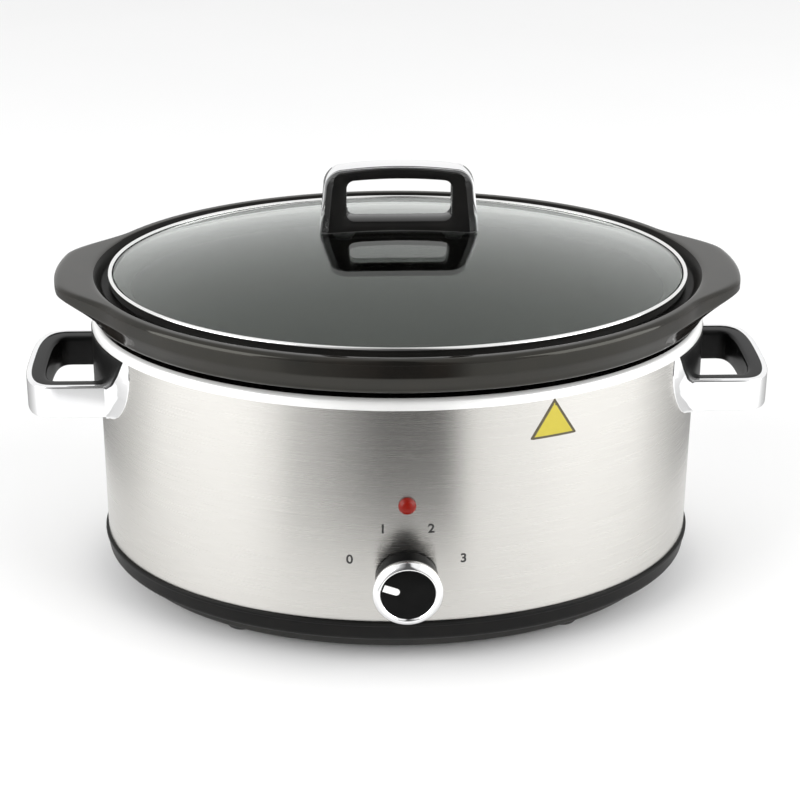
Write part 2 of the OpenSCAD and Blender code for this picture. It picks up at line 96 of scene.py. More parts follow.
# ---- mesh helpers ----

def eased(profile, size, steps=5):
    """Profile with each inner corner replaced by a curve that starts `size` before it and ends `size` after it.

    A corner's own size, if it has one, is the value at its index in `size`."""
    points = [Vector(p) for p in profile]
    out = [points[0]]
    for i in range(1, len(points) - 1):
        before, corner, after = points[i - 1], points[i], points[i + 1]
        wanted = size[i] if isinstance(size, list) else size
        cut = min(wanted, 0.49 * (before - corner).length, 0.49 * (after - corner).length)
        if cut < 0.01:
            out.append(corner)
            continue
        start = corner + (before - corner).normalized() * cut
        end = corner + (after - corner).normalized() * cut
        for k in range(steps + 1):
            t = k / steps
            out.append(start * (1 - t) ** 2 + corner * 2 * t * (1 - t) + end * t ** 2)
    out.append(points[-1])
    return out


def eased_loop(profile, sizes, steps=5):
    """The same for a closed profile, whose every corner is eased by its own size."""
    turned = [profile[-1], *profile, profile[0]]
    return eased(turned, [sizes[-1], *sizes, sizes[0]], steps)[1:-1]


def oval(a, b, z, count=ROUND):
    turns = [2 * math.pi * i / count for i in range(count)]
    return [(a * math.cos(t), b * math.sin(t), z) for t in turns]


def add_skin(mesh, rows, ring=False):
    """Adds a closed skin over rows of points, each row a closed loop. A ring joins its last row to its first."""
    made = [[mesh.verts.new(p) for p in row] for row in rows]
    count = len(rows[0])
    pairs = list(zip(made, made[1:])) + ([(made[-1], made[0])] if ring else [])
    for low, high in pairs:
        for j in range(count):
            k = (j + 1) % count
            mesh.faces.new((low[j], low[k], high[k], high[j]))
    if not ring:
        mesh.faces.new(made[0][::-1])
        mesh.faces.new(made[-1])


def finish_mesh(name, mesh, sharp=35, place=None):
    """Turns a bmesh in millimetres round the cooker's axis into an object in the row frame."""
    bmesh.ops.recalc_face_normals(mesh, faces=mesh.faces)
    if place is not None:
        mesh.transform(place)
    mesh.transform(Matrix.Scale(MM, 4) @ Matrix.Translation((0, AXIS_Y, 0)))
    data = bpy.data.meshes.new(name)
    mesh.to_mesh(data)
    mesh.free()
    data.shade_smooth()
    data.set_sharp_from_angle(angle=math.radians(sharp))
    piece = bpy.data.objects.new(name, data)
    bpy.context.scene.collection.objects.link(piece)
    return piece


def skin_piece(name, rows, ring=False, sharp=35, place=None):
    mesh = bmesh.new()
    add_skin(mesh, rows, ring)
    return finish_mesh(name, mesh, sharp, place)


def oval_piece(name, base, profile, ring=True, sharp=35):
    """Piece swept round the casing from a profile of (offset from the semi-axes in base, height)."""
    return skin_piece(name, [oval(base[0] + p[0], base[1] + p[0], p[1]) for p in profile], ring, sharp)


def lathe_rows(profile, count=96):
    """Rows for a turned piece: the profile is (radius, distance along +Z)."""
    return [oval(p[0], p[0], p[1], count) for p in profile]


def facing(y_sign, z, turn=0.0):
    """Frame whose +Z points out of the casing at the front (-1) or the rear (1), turned clockwise by turn degrees."""
    out = Matrix.Rotation(math.radians(-90 * y_sign), 4, "X")
    return Matrix.Translation((0, y_sign * CASING[1], z)) @ out @ Matrix.Rotation(math.radians(-turn), 4, "Z")


def cut(piece, rows_list):
    """Cuts closed skins, given as lists of rows, out of a piece."""
    mesh = bmesh.new()
    for rows in rows_list:
        add_skin(mesh, rows)
    tool = finish_mesh(piece.name + "_tool", mesh)
    modifier = piece.modifiers.new("holes", "BOOLEAN")
    modifier.object = tool
    modifier.solver = "EXACT"
    modifier.use_self = True
    graph = bpy.context.evaluated_depsgraph_get()
    data = bpy.data.meshes.new_from_object(piece.evaluated_get(graph), depsgraph=graph)
    piece.modifiers.clear()
    piece.data = data
    bpy.data.objects.remove(tool)
    data.shade_smooth()
    data.set_sharp_from_angle(angle=math.radians(30))


def true_normals(piece, normal_at, within=12):
    """Gives the faces that lie along a known surface the normals of that surface, so that cuts leave no shading."""
    data = piece.data
    limit = math.cos(math.radians(within))
    normals = []
    for face in data.polygons:
        for loop in face.loop_indices:
            point = data.vertices[data.loops[loop].vertex_index].co / MM
            known = normal_at(point - Vector((0, AXIS_Y, 0)))
            along = known.dot(face.normal)
            ready = data.corner_normals[loop].vector
            normals.append(known if along > limit else -known if along < -limit else ready.copy())
    data.normals_split_custom_set(normals)


def done(piece, body, nodes, materials):
    """Puts a finished piece on its body, in place of its CAD nodes, with its materials."""
    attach(piece, body)
    if nodes:
        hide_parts(*nodes)
    for material in materials:
        piece.data.materials.append(material)


# ---- materials ----

def surface(name, colours, rough, metal=0.0, grain=60.0, stretch=(1, 1, 1), bump=0.0, bump_grain=None,
            detail=4.0, **sockets):
    """Procedural finish: noise in the object's own space varies the colour, the roughness and the bump.

    grain is the noise scale per metre, stretch scales it along x, y and z, and bump is a depth in metres.
    Other sockets of the shader are set by name."""
    material = bpy.data.materials.new(name)
    material.use_nodes = True
    nodes, links = material.node_tree.nodes, material.node_tree.links
    shader = nodes["Principled BSDF"]
    where = nodes.new("ShaderNodeTexCoord")
    scaled = nodes.new("ShaderNodeMapping")
    scaled.inputs["Scale"].default_value = stretch
    links.new(where.outputs["Object"], scaled.inputs["Vector"])

    def noise(scale):
        made = nodes.new("ShaderNodeTexNoise")
        made.inputs["Scale"].default_value = scale
        made.inputs["Detail"].default_value = detail
        links.new(scaled.outputs["Vector"], made.inputs["Vector"])
        return made

    pattern = noise(grain)
    ramp = nodes.new("ShaderNodeValToRGB")
    ramp.color_ramp.elements[0].position = 0.3
    ramp.color_ramp.elements[1].position = 0.7
    for element, colour in zip(ramp.color_ramp.elements, colours):
        element.color = (*colour, 1)
    links.new(pattern.outputs["Fac"], ramp.inputs["Fac"])
    links.new(ramp.outputs["Color"], shader.inputs["Base Color"])
    spread = nodes.new("ShaderNodeMapRange")
    spread.inputs["To Min"].default_value = rough[0]
    spread.inputs["To Max"].default_value = rough[1]
    links.new(pattern.outputs["Fac"], spread.inputs["Value"])
    links.new(spread.outputs["Result"], shader.inputs["Roughness"])
    if bump:
        relief = nodes.new("ShaderNodeBump")
        relief.inputs["Distance"].default_value = bump
        relief.inputs["Strength"].default_value = 1.0
        links.new(noise(bump_grain or grain).outputs["Fac"], relief.inputs["Height"])
        links.new(relief.outputs["Normal"], shader.inputs["Normal"])
    shader.inputs["Metallic"].default_value = metal
    for socket, value in sockets.items():
        shader.inputs[socket.replace("_", " ")].default_value = value
    return material


def brushed_round(material):
    """Turns a finish into one brushed round the cooker: its highlights stretch up and down."""
    nodes, links = material.node_tree.nodes, material.node_tree.links
    tangent = nodes.new("ShaderNodeTangent")
    tangent.direction_type = "RADIAL"
    tangent.axis = "Z"
    links.new(tangent.outputs["Tangent"], nodes["Principled BSDF"].inputs["Tangent"])
    return material


BRUSH = (1.5, 1.5, 220)
STEEL = brushed_round(surface(
    "brushed_steel", [(0.615, 0.602, 0.575), (0.650, 0.637, 0.608)], (0.23, 0.30), 1.0, 14, BRUSH,
    bump=0.0000015, Anisotropic=0.75, Anisotropic_Rotation=0.25))
CHROME = surface("chrome_trim", [(0.90, 0.90, 0.91), (0.94, 0.94, 0.94)], (0.03, 0.08), 1.0, 35)
RING_CHROME = surface("satin_ring", [(0.90, 0.90, 0.89), (0.94, 0.94, 0.93)], (0.20, 0.28), 0.35, 35)
LID_STEEL = surface("lid_steel", [(0.84, 0.84, 0.83), (0.89, 0.89, 0.88)], (0.10, 0.18), 1.0, 40)
BASE = surface("base_plastic", [(0.006, 0.006, 0.006), (0.009, 0.0085, 0.008)], (0.34, 0.44), grain=90,
               bump=0.00002, bump_grain=2600, Specular_IOR_Level=0.12)
BASE_TIER = surface("base_tier", [(0.022, 0.022, 0.021), (0.030, 0.029, 0.027)], (0.40, 0.50), grain=90,
                    bump=0.00002, bump_grain=2600, Specular_IOR_Level=0.3)
HANDLE = surface("handle_plastic", [(0.005, 0.005, 0.005), (0.008, 0.008, 0.008)], (0.20, 0.30), grain=90,
                 bump=0.00001, bump_grain=2600, Specular_IOR_Level=0.12)
LID_PLASTIC = surface("lid_plastic", [(0.006, 0.006, 0.006), (0.009, 0.0085, 0.008)], (0.14, 0.22), grain=90,
                      bump=0.000006, bump_grain=2400, Specular_IOR_Level=0.22)
KNOB = surface("knob_plastic", [(0.004, 0.004, 0.004), (0.006, 0.006, 0.006)], (0.14, 0.22), grain=120,
               bump=0.000006, bump_grain=2600, Specular_IOR_Level=0.06)
GLAZE = surface("glazed_stoneware", [(0.006, 0.0055, 0.005), (0.011, 0.009, 0.0075)], (0.06, 0.11), grain=70,
                bump=0.00004, bump_grain=45, Specular_IOR_Level=0.4, Specular_Tint=(1.0, 1.0, 0.9, 1))
# Darker, duller glaze for the inside of the crock's lip: painted shade, which darkens the gap round the lid.
SHADED_LEDGE_GLAZE = surface("painted_shade_glaze", [(0.005, 0.005, 0.0045), (0.009, 0.008, 0.007)], (0.35, 0.50), grain=70,
                     Specular_IOR_Level=0.1)
BARE_CLAY = surface("unglazed_foot", [(0.30, 0.25, 0.19), (0.38, 0.32, 0.25)], (0.7, 0.85), grain=300,
                    bump=0.00008, bump_grain=900)
GLASS_FINISH = surface("lid_glass", [(0.78, 0.83, 0.79), (0.82, 0.87, 0.83)], (0.0, 0.015), grain=12,
                       Transmission_Weight=1.0, IOR=1.5, Specular_Tint=(0.94, 1.0, 0.94, 1))
RUBBER = surface("foot_rubber", [(0.035, 0.035, 0.035), (0.05, 0.05, 0.048)], (0.6, 0.75), grain=400,
                 bump=0.00003, bump_grain=2000)
RED_LENS = surface("lamp_red", [(0.23, 0.009, 0.004), (0.29, 0.013, 0.006)], (0.10, 0.16), grain=160,
                   Transmission_Weight=0.25, IOR=1.49, Specular_IOR_Level=0.15)
YELLOW = surface("yellow_film", [(0.50, 0.42, 0.035), (0.55, 0.46, 0.045)], (0.28, 0.36), grain=120)
FILM_EDGE = surface("film_edge", [(0.07, 0.06, 0.03), (0.10, 0.08, 0.04)], (0.30, 0.40), grain=120)
INK = surface("dial_ink", [(0.012, 0.012, 0.012), (0.03, 0.03, 0.03)], (0.45, 0.6), grain=900)
WHITE_MARK = surface("pointer_white", [(0.88, 0.88, 0.87), (0.93, 0.93, 0.92)], (0.25, 0.35), grain=200)
ALUMINIUM = brushed_round(surface(
    "well_aluminium", [(0.62, 0.63, 0.64), (0.72, 0.73, 0.74)], (0.28, 0.42), 1.0, 18, (2, 2, 60),
    bump=0.00001, Anisotropic=0.4, Anisotropic_Rotation=0.25))
ZINC = surface("plated_steel", [(0.58, 0.59, 0.60), (0.70, 0.71, 0.73)], (0.25, 0.40), 1.0, 260,
               bump=0.000008, bump_grain=900)
MICA = surface("mica_band", [(0.34, 0.26, 0.14), (0.52, 0.42, 0.26)], (0.35, 0.55), 0.1, 90, (1, 1, 3),
               bump=0.00003, bump_grain=400)
SWITCH_PLASTIC = surface("switch_plastic", [(0.66, 0.63, 0.54), (0.74, 0.71, 0.62)], (0.4, 0.5), grain=200,
                         bump=0.00001, bump_grain=1800)
BRASS = surface("brass_metal", [(0.62, 0.48, 0.22), (0.72, 0.57, 0.28)], (0.22, 0.36), 1.0, 300)
SLEEVE = surface("wire_sleeve", [(0.62, 0.56, 0.48), (0.76, 0.71, 0.63)], (0.6, 0.75), grain=900,
                 stretch=(1, 1, 3), bump=0.00006, bump_grain=1600)
FUSE = surface("fuse_metal", [(0.62, 0.57, 0.42), (0.72, 0.67, 0.52)], (0.25, 0.35), 0.9, 300)
GLAND = surface("gland_rubber", [(0.022, 0.022, 0.022), (0.034, 0.034, 0.033)], (0.45, 0.6), grain=300,
                bump=0.00002, bump_grain=1800)
BLACKENED = surface("blackened_steel", [(0.030, 0.030, 0.032), (0.045, 0.045, 0.047)], (0.35, 0.5), 0.8, 300)
SEAL = surface("seal_silicone", [(0.05, 0.05, 0.05), (0.07, 0.07, 0.068)], (0.5, 0.6), grain=400)


# ---- casing ----

def casing_normal(point):
    return Vector((point.x / CASING[0] ** 2, point.y / CASING[1] ** 2, 0)).normalized()


def on_front(x, z, off):
    """Point on the front of the casing at x and height z, raised by off along the surface's normal."""
    base = Vector((x, -CASING[1] * math.sqrt(1 - (x / CASING[0]) ** 2), z))
    return base + casing_normal(base) * off


def casing_shell():
    """Rolled steel band with the holes that the knob shaft, the lamp and the cord go through."""
    wall, hem, rows = 1.0, 0.35, 10
    heights = [CASING_LOW + hem + (CASING_HIGH - CASING_LOW - 2 * hem) * i / rows for i in range(rows + 1)]
    outside = [(0, z) for z in heights]
    inside = [(-wall, z) for z in heights[::-1]]
    profile = [(-hem, CASING_LOW), *outside, (-hem, CASING_HIGH), (hem - wall, CASING_HIGH), *inside,
               (hem - wall, CASING_LOW)]
    piece = oval_piece("casing_shell", CASING, profile)
    holes = []
    for y_sign, z, radius in ((-1, KNOB_Z, 4.0), (-1, LAMP_Z, 4.0), (1, GLAND_Z, 6.0)):
        place = facing(y_sign, z)
        rows = [[place @ Vector(p) for p in row] for row in lathe_rows([(radius, -4), (radius, 4)], 48)]
        holes.append(rows)
    cut(piece, holes)
    true_normals(piece, casing_normal)
    done(piece, "housing", ["outer_shell"], [STEEL])


def trim_ring():
    """Polished collar between the casing and the crock."""
    top = CASING_HIGH + 6
    profile = eased_loop(
        [(3, CASING_HIGH), (3, top - 2.2), (0.2, top), (-10, top), (-10, CASING_HIGH - 0.4),
         (-1.3, CASING_HIGH - 0.4), (-1.3, CASING_HIGH)],
        [0.5, 2.6, 2.6, 1.4, 0.3, 0.2, 0.1], 7)
    piece = oval_piece("trim_ring", CASING, profile)
    done(piece, "housing", ["top_trim_ring"], [RING_CHROME, CHROME])
    for face in piece.data.polygons:
        face.material_index = int(face.center.z / MM > top - 0.25)


def base_moulding():
    """Black base: a lip under the casing, an upper band, and a set-in lower tier with vents beneath."""
    lip, band_low, tier, floor = CASING_LOW - 2.5, BASE_LOW + 10, -11.5, BASE_LOW + 3
    outer = [(-60, BASE_LOW), (tier - 1.2, BASE_LOW), (tier, BASE_LOW + 1.6), (tier, band_low),
             (-1.6, band_low), (0.1, band_low + 2.2), (0.6, lip), (1.6, lip + 0.3), (1.6, CASING_LOW),
             (-1.1, CASING_LOW), (-1.1, CASING_LOW + 6), (-3.5, CASING_LOW + 6), (-3.5, band_low + 2.5),
             (tier - 3, band_low + 2.5), (tier - 3, floor), (-60, floor)]
    sizes = [0, 1.5, 1.5, 0.8, 1.8, 1.8, 0.3, 0.5, 0.7, 0.1, 0.3, 0.3, 0.5, 0.5, 1.0, 0]
    piece = oval_piece("base_moulding", CASING, eased(outer, sizes), ring=False)
    holes = []
    low, high = BASE_LOW - 1, floor + 1
    pitch, half_l, end_r = 14, 23, 2
    for i in range(-3, 4):
        x = pitch * i
        slot = [(x + end_r * math.cos(t), math.copysign(half_l, math.sin(t) or 1) + end_r * math.sin(t))
                for t in [math.pi * (k + 0.5) / 12 for k in range(24)]]
        holes.append([[(px, py, z) for px, py in slot] for z in (low, high)])
    post_hole, foot_hole = (80, 40, 2.2), (88, 80, 3.3)
    for sx in (-1, 1):
        for sy in (-1, 1):
            for x, y, r in (post_hole, foot_hole):
                holes.append([[(x * sx + p[0], y * sy + p[1], p[2]) for p in row]
                              for row in lathe_rows([(r, low), (r, high)], 32)])
    cut(piece, holes)
    done(piece, "housing", ["base_tray"], [BASE, BASE_TIER])
    for face in piece.data.polygons:
        face.material_index = int(face.center.z / MM < band_low - 0.2)


def foot(node):
    """Rubber foot with a grooved sole and a stem that snaps through the base."""
    low, high = box_mm(node)
    centre = Matrix.Translation(((low.x + high.x) / 2, (low.y + high.y) / 2 - AXIS_Y, 0))
    profile = eased([(2.2, 0.7), (2.2, 0), (4.2, 0), (4.5, 0.7), (5.6, 0.7), (5.9, 0), (8.2, 0), (9, 1.2),
                     (9, BASE_LOW), (3.2, BASE_LOW), (3.2, BASE_LOW + 3), (4.4, BASE_LOW + 3.2),
                     (2.6, high.z), (1.5, high.z)], 0.3, 3)
    piece = skin_piece(node + "_rubber", lathe_rows(profile, 64), place=centre)
    done(piece, "housing", [node], [RUBBER])


def well():
    """Drawn aluminium well that the crock stands in, with a flange under the collar."""
    base = (CASING[0] - 11.5, CASING[1] - 11.5)
    low = box_mm("heater_liner")[0].z
    top = CASING_HIGH - 0.4
    profile = [(-60, low), (-37.5, low), (-21.5, low + 3), (-9.5, low + 11.5), (-2.5, low + 25.5),
               (0, low + 43.5), (0, top - 1.1), (10, top - 1.1), (10, top), (-0.9, top), (-1, low + 43.5),
               (-3.5, low + 26), (-10.3, low + 12.5), (-22, low + 4.1), (-38, low + 1), (-60, low + 1)]
    sizes = [0, 7, 9, 9, 9, 12, 0.8, 0.2, 0.2, 1.2, 12, 9, 9, 9, 7, 0]
    piece = oval_piece("heater_well", base, eased(profile, sizes, 6), ring=False)
    done(piece, "housing", ["heater_liner"], [ALUMINIUM])


# ---- crock ----

LUG_FLAT, LUG_FOOT, LUG_BOW, LUG_THIN = 26.0, 62.0, 18.0, 0.4


def lug_share(y):
    """1 across the straight end of a lug, falling smoothly to 0 where it runs out into the rim."""
    s = min(max((abs(y) - LUG_FLAT) / (LUG_FOOT - LUG_FLAT), 0), 1)
    return 1 - s * s * (3 - 2 * s)


def crock_loop(ring):
    """Ring of (a, b, height, share drawn out into the lugs, distance short of a lug's bowed end)."""
    a, b, z, drawn, short = ring
    loop = []
    for x, y, _ in oval(a, b, z):
        share = drawn * lug_share(y)
        end = LUG_X - LUG_BOW * (y / LUG_FOOT) ** 2 - short
        reach = share * max(end - abs(x), 0)
        loop.append((x + math.copysign(reach, x), y, z + share * LUG_THIN * (LIP - z)))
    return loop


def crock_pot():
    """Glazed stoneware crock, from its foot up the outside, over the lip and down to its floor."""
    a, b, z = RIM_B + 36.8, RIM_B, LIP
    rings = [
        (90, 50, CROCK_FOOT, 0, 0), (112, 72, CROCK_FOOT, 0, 0), (122, 82, CROCK_FOOT + 1.5, 0, 0),
        (134, 94, CROCK_FOOT + 6.5, 0, 0), (143, 103, CROCK_FOOT + 16, 0, 0), (148.5, 108.5, z - 104, 0, 0),
        (151.5, 111.5, z - 29, 0, 0), (152.5, 112.5, z - 23.5, 0, 0), (156, 117, z - 21.7, 0, 0),
        (168, 131.3, z - 19.4, 0, 0), (170.6, 133.8, z - 18.4, 0, 0), (171.3, 134.5, z - 15.5, 0, 0),
        (173.3, 136.5, z - 10.2, 1, 1), (a, b, z - 9, 1, 0), (a, b, z - 1.8, 1, 0),
        (171.6, 134.8, z, 1, 2.4), (168, 131.2, z - 0.1, 0, 0), (166.2, 129.4, z - 2.4, 0, 0),
        (163.6, 126.8, 172.6, 0, 0), (150, 112, 171.6, 0, 0), (146.6, 108, 168, 0, 0), (144, 104, 80, 0, 0),
        (139.5, 99.5, 62, 0, 0), (128, 88, 53, 0, 0), (112, 72, 50, 0, 0), (90, 50, 50, 0, 0)]
    sizes = [0, 3, 4, 6, 7, 12, 2, 1.6, 2.5, 2.5, 1.4, 2, 0.8, 0.5, 1.6, 1.6, 1, 1, 1.5, 2.5, 2.5, 10, 8, 7, 6, 0]
    rows = [crock_loop(ring) for ring in eased(rings, sizes, 5)]
    piece = skin_piece("crock_pot", rows)
    done(piece, "crock", ["crock"], [GLAZE, BARE_CLAY, SHADED_LEDGE_GLAZE])
    # Faces inside the lip, near its top, take the darker, duller glaze: painted shade for the gap round the lid.
    lip_w, shade_depth = 5.7, 12
    for face in piece.data.polygons:
        x, y, z = face.center / MM
        inside = (x / (a - lip_w)) ** 2 + ((y - AXIS_Y) / (b - lip_w)) ** 2 < 1
        shaded_ledge = inside and z > LIP - shade_depth
        face.material_index = 1 if z < CROCK_FOOT + 0.4 else 2 if shaded_ledge else 0


# ---- lid ----

def dome_z(x, y):
    return CROWN - DOME_RISE * ((x / GLASS[0]) ** 2 + (y / GLASS[1]) ** 2)


def dome_normal(point):
    slope = 2 * DOME_RISE
    return Vector((slope * point.x / GLASS[0] ** 2, slope * point.y / GLASS[1] ** 2, 1)).normalized()


LID_SCREW_X = 30.0


def glass_pane():
    """Domed toughened glass with two screw holes."""
    count = 26
    shares = [0.03 + 0.965 * (i / (count - 1)) for i in range(count)]
    edge = 1.0

    def row(share, drop):
        loop = oval(GLASS[0] * share, GLASS[1] * share, 0)
        return [(x, y, dome_z(x, y) - drop) for x, y, _ in loop]

    rows = [row(s, GLASS_T) for s in shares]
    rows += [row(1, GLASS_T - edge), row(1, edge)]
    rows += [row(s, 0) for s in shares[::-1]]
    piece = skin_piece("lid_glass_pane", rows)
    tools = [[[(x + p[0], p[1], p[2]) for p in row] for row in
              lathe_rows([(2.3, CROWN - 12), (2.3, CROWN + 4)], 32)] for x in (-LID_SCREW_X, LID_SCREW_X)]
    cut(piece, tools)
    true_normals(piece, dome_normal)
    done(piece, "lid", ["lid_glass"], [GLASS_FINISH])


def rim_band():
    """Steel band folded round the edge of the glass."""
    profile = eased_loop(
        [(-1.6, RIM_LOW), (-1, RIM_LOW + 1), (0, RIM_HIGH - 1.8), (0, RIM_HIGH - 0.8), (-0.8, RIM_HIGH),
         (-1.5, RIM_HIGH), (-2.5, RIM_HIGH - 0.9), (-2.2, RIM_HIGH - 1.2), (-2.2, RIM_LOW + 1.2),
         (-4.6, RIM_LOW + 1), (-4.6, RIM_LOW)], [0.4, 0.5, 0.3, 0.5, 0.5, 0.4, 0.2, 0.2, 0.2, 0.2, 0.2], 4)
    done(oval_piece("lid_rim_band", LID, profile), "lid", ["lid_rim"], [LID_STEEL])


strap_low, strap_high = box_mm("lid_handle_strap")
STRAP_T = 1.6
CORE_W = (strap_high.x - strap_low.x) / 2 - STRAP_T
CORE_TOP = strap_high.z - STRAP_T
CORE_D = half_span("lid_handle_core")[1]
STRAP_D = (strap_high.y - strap_low.y) / 2
SEAL_T = 0.9
CORNER_R, SHOULDER = 10.0, 2.4
STRAP_ARCH, CORE_ARCH = 1.8, 2.4
ARCH_W = CORE_W - SHOULDER - CORNER_R


def lid_handle_side(t, rise):
    """Right half of the lid handle's outline grown by t, from its foot to the middle of its arched top."""
    foot_z = dome_z(CORE_W, 0) + SEAL_T + 0.1
    centre = Vector((ARCH_W, CORE_TOP - rise - CORNER_R))
    turns = [math.radians(6 * i) for i in range(14)]
    corner = [centre + (CORNER_R + t) * Vector((math.cos(a), math.sin(a))) for a in turns]
    top = [Vector((ARCH_W * s, CORE_TOP + t - rise * s * s)) for s in [1 - i / 10 for i in range(11)]]
    post = [Vector((CORE_W + t, foot_z)).lerp(corner[0], i / 6) for i in range(6)]
    return post + corner + top


def both_halves(side):
    return side + [Vector((-p.x, p.y)) for p in side[-2::-1]]


def lid_handle_strap():
    """Bright strap bent over the handle, with soft edges front and rear."""
    outer = both_halves(lid_handle_side(STRAP_T, STRAP_ARCH))
    inner = both_halves(lid_handle_side(0, CORE_ARCH))
    rows = []
    for p_out, p_in in zip(outer, inner):
        edge = 0.5
        section = [(0.0, -STRAP_D), (1 - edge / 1.6, -STRAP_D), (0.93, -STRAP_D + 0.12),
                   (1, -STRAP_D + edge), (1, STRAP_D - edge), (0.93, STRAP_D - 0.12),
                   (1 - edge / 1.6, STRAP_D), (0.0, STRAP_D)]
        rows.append([(*p_in.lerp(p_out, share), y) for share, y in section])
    rows = [[(x, y, z) for x, z, y in row] for row in rows]
    piece = skin_piece("lid_handle_cap", rows)
    done(piece, "lid", ["lid_handle_strap"], [CHROME])


def along(outline, turn, centre):
    """Point where a ray from centre at an angle meets a closed outline."""
    ray = Vector((math.cos(turn), math.sin(turn)))
    best = None
    for p, q in zip(outline, outline[1:] + outline[:1]):
        edge = q - p
        cross = ray.x * edge.y - ray.y * edge.x
        if abs(cross) < 1e-9:
            continue
        to_p = p - centre
        far = (to_p.x * edge.y - to_p.y * edge.x) / cross
        share = (to_p.x * ray.y - to_p.y * ray.x) / cross
        if far > 0 and -1e-6 <= share <= 1 + 1e-6:
            best = far if best is None else max(best, far)
    return centre + ray * best


def window_outline(grow):
    """Opening of the lid handle, grown all round, with an arched top."""
    half, r, sag = 28.6 + grow, 4.5 + grow, 1.1
    z0, z1 = CROWN + 6 - grow, CORE_TOP - 5.5 + grow
    points = []
    for sx, z, start in ((1, z0 + r, -90), (1, z1 - sag - r, 0), (-1, z1 - sag - r, 90), (-1, z0 + r, 180)):
        centre = Vector((sx * (half - r), z))
        points += [centre + r * Vector((math.cos(math.radians(start + 15 * k)),
                                        math.sin(math.radians(start + 15 * k)))) for k in range(7)]
        if start == 0:
            for s in [0.8 - 0.2 * i for i in range(9)]:
                points.append(Vector(((half - r) * s, z1 - sag * s * s)))
    return points


def lid_handle_core():
    """Black grip: a frame round its window, with the front and rear edges of its posts chamfered."""
    side = lid_handle_side(0, CORE_ARCH)
    foot_line = [Vector((CORE_W * s, dome_z(CORE_W * s, 0) + SEAL_T + 0.1)) for s in
                 [-0.9 + 0.2 * i for i in range(10)]]
    outline = both_halves(side) + foot_line
    centre = Vector((0, (CROWN + 6 + CORE_TOP - 5.5) / 2))
    turns = [2 * math.pi * i / 360 for i in range(360)]
    outer = [along(outline, t, centre) for t in turns]
    windows = {grow: window_outline(grow) for grow in (0, 0.25, 0.9)}
    inner = {grow: [along(w, t, centre) for t in turns] for grow, w in windows.items()}

    def inset(point, post, rest):
        """Moves a point of the outline inwards, by post where it is on a post and by rest on the top."""
        share = min(max((CORE_TOP - 3.5 - point.y) / 5, 0), 1)
        narrow = rest + (post - rest) * share
        z = min(point.y, CORE_TOP - CORE_ARCH * min(abs(point.x) / ARCH_W, 1) ** 2 - rest)
        return Vector((point.x - math.copysign(min(narrow, abs(point.x)), point.x), max(z, point.y - rest)))

    chamfer_d = CORE_D - STRAP_D
    loops = []
    for front in (-1, 1):
        steps = [("out", 0, 0, STRAP_D), ("out", 2.6, 0.06, STRAP_D + 0.75 * chamfer_d),
                 ("out", 3.1, 0.3, CORE_D), ("in", 0.9, 0, CORE_D), ("in", 0.25, 0, CORE_D - 0.25),
                 ("in", 0, 0, CORE_D - 0.9)]
        made = []
        for kind, post, rest, y in steps:
            if kind == "out":
                row = [inset(p, post, rest) for p in outer]
            else:
                row = inner[post]
            made.append([(p.x, front * y, p.y) for p in row])
        loops += made if front == -1 else made[::-1]
    piece = skin_piece("lid_handle_grip", loops, ring=True, sharp=25)
    done(piece, "lid", ["lid_handle_core"], [LID_PLASTIC])


# ---- side handles ----

BEND, POWER = 186.0, 3.2
COVER_T, CORE_INSET, PAD_T = 3.0, 11.0, 3.5


def casing_x(y):
    return CASING[0] * math.sqrt(1 - (y / CASING[1]) ** 2)


def on_casing(y, z, off):
    """Point of the right half of the casing at depth y and height z, raised by off along the surface's normal."""
    base = Vector((casing_x(y), y, z))
    return base + casing_normal(base) * off


def arm_path(inset, count=72):
    """Plan of a side handle drawn in by inset, from the casing at the front round to the casing at the rear."""
    a, b = HANDLE_X - BEND - inset, ARM_Y - inset
    points = []
    for i in range(count + 1):
        turn = -math.pi / 2 + math.pi * i / count
        points.append((BEND + a * abs(math.cos(turn)) ** (2 / POWER),
                       math.copysign(b * abs(math.sin(turn)) ** (2 / POWER), turn)))
    start = casing_x(b) + 0.3
    straight = [start + (BEND - start) * i / 5 for i in range(5)]
    return [(x, -b) for x in straight] + points + [(x, b) for x in straight[::-1]]


def arm(mesh, section, mirror):
    """Adds a bar along the handle's path; the section is a loop of (inset, height)."""
    paths = {inset: arm_path(inset) for inset in sorted({s[0] for s in section})}
    count = len(next(iter(paths.values())))
    rows = [[(mirror * paths[inset][i][0], paths[inset][i][1], z) for inset, z in section]
            for i in range(count)]
    add_skin(mesh, rows)


def flange_edges(z):
    """Inner and outer edge of the bright flange beside a handle, as depths from the middle."""
    outer = [(HANDLE_LOW, 43), (108.5, 46.5), (111.5, 51), (116, 55.2), (121, 58.6), (126, 60.8), (132, 62.4),
             (138, 63), (143, 62.9), (PAD_TOP, 62.4)]
    inner = [(HANDLE_LOW, 39), (HANDLE_TOP - 2, 39), (HANDLE_TOP, 44), (131, 50.6), (139, 56.3),
             (PAD_TOP, 61.4)]
    return tuple(interpolate(line, z) for line in (inner, outer))


def interpolate(line, z):
    for (z0, y0), (z1, y1) in zip(line, line[1:]):
        if z <= z1:
            return y0 + (y1 - y0) * max(z - z0, 0) / (z1 - z0)
    return line[-1][1]


